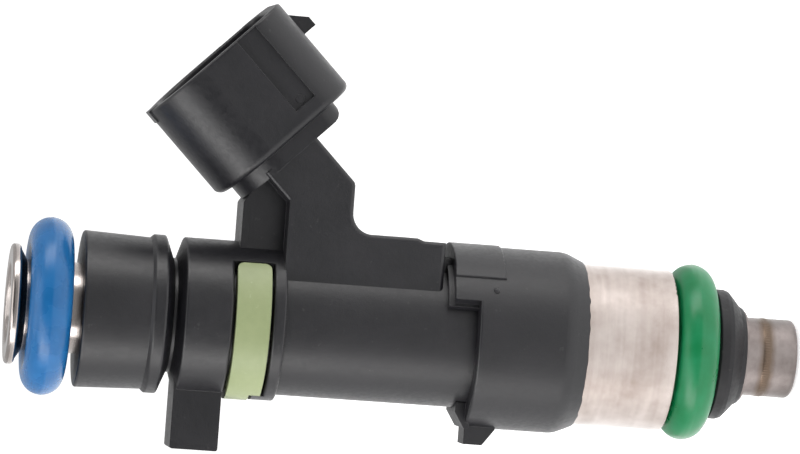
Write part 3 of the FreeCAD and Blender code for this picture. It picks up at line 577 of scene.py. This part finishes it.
def make_pip(name, centre, normal):
    """The small domed pip that a gate leaves on a moulded face."""
    radius = 0.26 * MM
    height = 0.2 * MM
    rings = 9
    sides = 40
    points = []
    for ring in range(rings):
        slope = math.pi / 2 * ring / rings
        for side in range(sides):
            angle = 2 * math.pi * side / sides
            points.append(around(radius * math.cos(slope), angle, height * math.sin(slope)))
    faces = joined_rings(rings, sides, closed=False)
    faces.append(tuple((rings - 1) * sides + side for side in range(sides)))
    faces.append(tuple(reversed(range(sides))))
    add_piece(name, placed(points, centre, normal), faces, "housing_plastic")


def make_mould_marks():
    """Ejector rings in the connector's side bands, and a gate pip on each side of the shroud."""
    lean = math.radians(45.0)
    side, reach = -17.6 * MM, 43.6 * MM
    ring_x = side * math.cos(lean) + reach * math.sin(lean)
    ring_z = reach * math.cos(lean) - side * math.sin(lean)
    band_y = 5.55 * MM
    pip_angle = math.radians(58.0)
    pip_level = 26.1 * MM
    shroud_radius = 7.52 * MM
    pip_seat = shroud_radius - 0.02 * MM
    for label, sign in (("far", 1.0), ("near", -1.0)):
        outward = Vector((0.0, sign, 0.0))
        make_ejector_ring(f"{label}_ejector_ring", Vector((ring_x, sign * band_y, ring_z)), outward)
        radial = around(1.0, sign * pip_angle, 0.0)
        make_pip(f"{label}_gate_pip", radial * pip_seat + Vector((0.0, 0.0, pip_level)), radial)


def make_pieces():
    make_seal_ring("upper_seal", "upper_o_ring", "blue_rubber")
    make_seal_ring("lower_seal", "lower_o_ring", "green_rubber")
    make_weld_bead()
    make_winding()
    make_spring_coils()
    make_filter_weave()
    make_foot_flash()
    make_mould_marks()


# ---------------------------------------------------------------- floor, light and camera

def make_floor():
    """A pale floor that glows beside and behind the injector, so it stays white there."""
    half_size = 4.0
    gap = 0.2 * MM
    glow_start, glow_full = -0.16, -0.03  # along Y
    glow_strength = 0.62
    mesh = bpy.data.meshes.new("floor")
    corners = [(-half_size, -half_size, 0.0), (half_size, -half_size, 0.0),
               (half_size, half_size, 0.0), (-half_size, half_size, 0.0)]
    mesh.from_pydata(corners, [], [(0, 1, 2, 3)])
    floor = add_object("floor", mesh)
    floor.location = (0.0, 0.0, -gap)
    g = Graph("floor_paint")
    speck = g.noise(scale=35.0, detail=3.0, roughness=0.5)
    colour = g.mix(speck, (0.86, 0.86, 0.86), (0.9, 0.9, 0.9))
    glow = g.remap(g.axis("Y"), span=(glow_start, glow_full), result=(0.0, glow_strength))
    floor.data.materials.append(g.surface(Base_Color=colour, Roughness=0.9, Specular_IOR_Level=0.1,
                                          Emission_Color=(1.0, 1.0, 1.0), Emission_Strength=glow))


def make_panel(name, place, width, height, power, colour=(1.0, 1.0, 1.0)):
    """A soft rectangular lamp that faces the middle of the injector."""
    middle = Vector((0.0, 0.0, 0.035))
    light = bpy.data.lights.new(name, "AREA")
    light.shape = "RECTANGLE"
    light.size = width
    light.size_y = height
    light.energy = power
    light.color = colour
    lamp = add_object(name, light)
    lamp.location = place
    lamp.rotation_mode = "QUATERNION"
    lamp.rotation_quaternion = (middle - Vector(place)).to_track_quat("-Z", "Y")


def make_lights():
    """Two tall strips, one on the connector's side and one opposite, and two weaker fill panels."""
    warm = (1.0, 0.985, 0.97)
    make_panel("panel_upper", (0.34, -0.1, 0.03), width=0.17, height=0.6, power=1.65, colour=warm)
    make_panel("panel_lower", (-0.32, -0.17, 0.05), width=0.17, height=0.6, power=1.75, colour=warm)
    make_panel("panel_left", (-0.17, -0.2, 0.24), width=0.16, height=0.24, power=0.35)
    make_panel("panel_high", (0.02, -0.1, 0.5), width=0.4, height=0.4, power=0.7)


def make_world():
    """A light tent: white behind and beside the injector, dimmer on the side that faces -Y."""
    world = bpy.data.worlds.new("tent")
    bpy.context.scene.world = world
    world.use_nodes = True
    tree = world.node_tree
    tree.nodes.clear()
    place = tree.nodes.new("ShaderNodeTexCoord")
    split = tree.nodes.new("ShaderNodeSeparateXYZ")
    tree.links.new(place.outputs["Generated"], split.inputs["Vector"])
    ramp = tree.nodes.new("ShaderNodeMapRange")
    ramp.interpolation_type = "SMOOTHSTEP"
    tree.links.new(split.outputs["Y"], ramp.inputs["Value"])
    set_range(ramp, span=(-0.98, 0.0), result=(0.11, 0.8))
    tent = tree.nodes.new("ShaderNodeBackground")
    tree.links.new(ramp.outputs["Result"], tent.inputs["Strength"])
    output = tree.nodes.new("ShaderNodeOutputWorld")
    tree.links.new(tent.outputs["Background"], output.inputs["Surface"])


def make_camera():
    """A long lens square to the injector's side, a little above it, rolled so the axis lies across."""
    target = Vector((8.6, 0.0, 33.6)) * MM
    distance = 0.43
    elevation = math.radians(7.67)
    roll = math.radians(4.27)
    span = 66.1 * MM
    back = Vector((0.0, -math.cos(elevation), math.sin(elevation)))
    along = Vector((0.0, math.sin(elevation), math.cos(elevation)))
    across = Vector((1.0, 0.0, 0.0))
    right = -math.cos(roll) * along + math.sin(roll) * across
    up = math.sin(roll) * along + math.cos(roll) * across
    camera = bpy.data.cameras.new("camera")
    camera.sensor_width = 36.0
    camera.lens = camera.sensor_width * distance / span
    camera.clip_start = 0.01
    camera.clip_end = 20.0
    rig = add_object("camera", camera)
    turn = Matrix((right, up, back)).transposed()
    rig.matrix_world = Matrix.Translation(target + back * distance) @ turn.to_4x4()
    bpy.context.scene.camera = rig


bpy.context.scene.view_settings.view_transform = "Standard"
dress_nodes()
make_pieces()
make_floor()
make_lights()
make_world()
make_camera()
